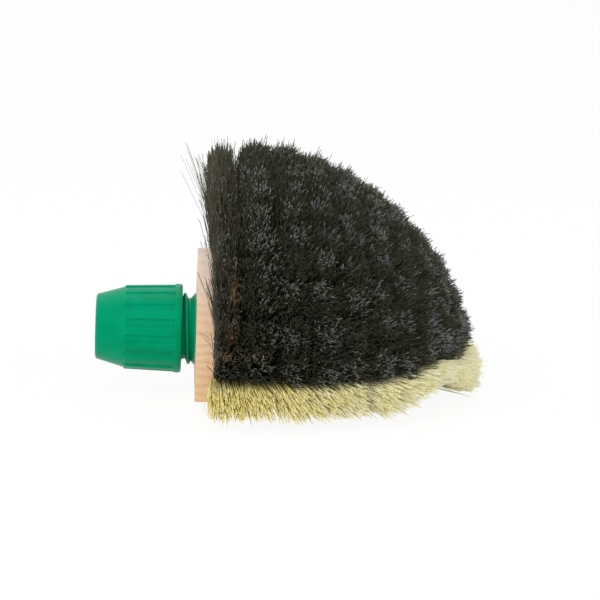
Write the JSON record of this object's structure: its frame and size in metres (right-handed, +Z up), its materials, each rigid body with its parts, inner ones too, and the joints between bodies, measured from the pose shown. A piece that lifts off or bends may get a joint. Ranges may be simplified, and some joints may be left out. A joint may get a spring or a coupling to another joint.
{
  "type": "wall brush head",
  "caption": "Half-round brush head: a wooden half dome set with black bristles and a pale bottom row, with a threaded pole socket, a split clamping collet and a ribbed locking nut.",
  "frame": {"origin": "centre of the pole socket's inner floor, where the end of the pole stops", "axes": "+X along the pole axis, from the pole into the brush; +Y across the brush; +Z up, with the dome's flat side facing down"},
  "size_m": [0.2071, 0.2796, 0.1293],
  "materials": {
    "green_plastic": "satin",
    "beech": "matte",
    "black_bristle": "matte",
    "cream_bristle": "matte",
    "natural_nylon": "satin",
    "zinc_steel": "satin"
  },
  "bodies": {
    "root": {"wooden_block": "beech", "pole_socket": "green_plastic", "socket_screw_1": "zinc_steel", "socket_screw_2": "zinc_steel", "socket_screw_3": "zinc_steel", "black_row_01": "black_bristle", "black_row_02": "black_bristle", "black_row_03": "black_bristle", "black_row_04": "black_bristle", "black_row_05": "black_bristle", "black_row_06": "black_bristle", "black_row_07": "black_bristle", "black_row_08": "black_bristle", "black_row_09": "black_bristle", "black_row_10": "black_bristle", "black_row_11": "black_bristle", "cream_tuft_01": "cream_bristle", "cream_tuft_02": "cream_bristle", "cream_tuft_03": "cream_bristle", "cream_tuft_04": "cream_bristle", "cream_tuft_05": "cream_bristle", "cream_tuft_06": "cream_bristle", "cream_tuft_07": "cream_bristle", "cream_tuft_08": "cream_bristle", "cream_tuft_09": "cream_bristle", "cream_tuft_10": "cream_bristle", "cream_tuft_11": "cream_bristle", "cream_tuft_12": "cream_bristle", "cream_tuft_13": "cream_bristle", "cream_tuft_14": "cream_bristle", "cream_tuft_15": "cream_bristle", "cream_tuft_16": "cream_bristle", "cream_tuft_17": "cream_bristle", "cream_tuft_18": "cream_bristle", "cream_tuft_19": "cream_bristle", "cream_tuft_20": "cream_bristle", "cream_tuft_21": "cream_bristle", "cream_tuft_22": "cream_bristle", "cream_tuft_23": "cream_bristle", "cream_tuft_24": "cream_bristle", "cream_tuft_25": "cream_bristle"},
    "collet": {"clamping_collet": "natural_nylon"},
    "nut": {"locking_nut": "green_plastic"}
  },
  "joints": [
    {"name": "collet_slide", "type": "slide", "parent": "root", "child": "collet", "axis": [1, 0, 0], "range_m": [-0.01001, 0.00626]},
    {"name": "nut_turn", "type": "hinge", "parent": "collet", "child": "nut", "pos_m": [0, 0, 0], "axis": [1, 0, 0], "range_deg": [-720, 450]}
  ],
  "couplings": [
    {"joint": "collet_slide", "follows": "nut_turn", "m_per_rad": 0.00079577}
  ]
}
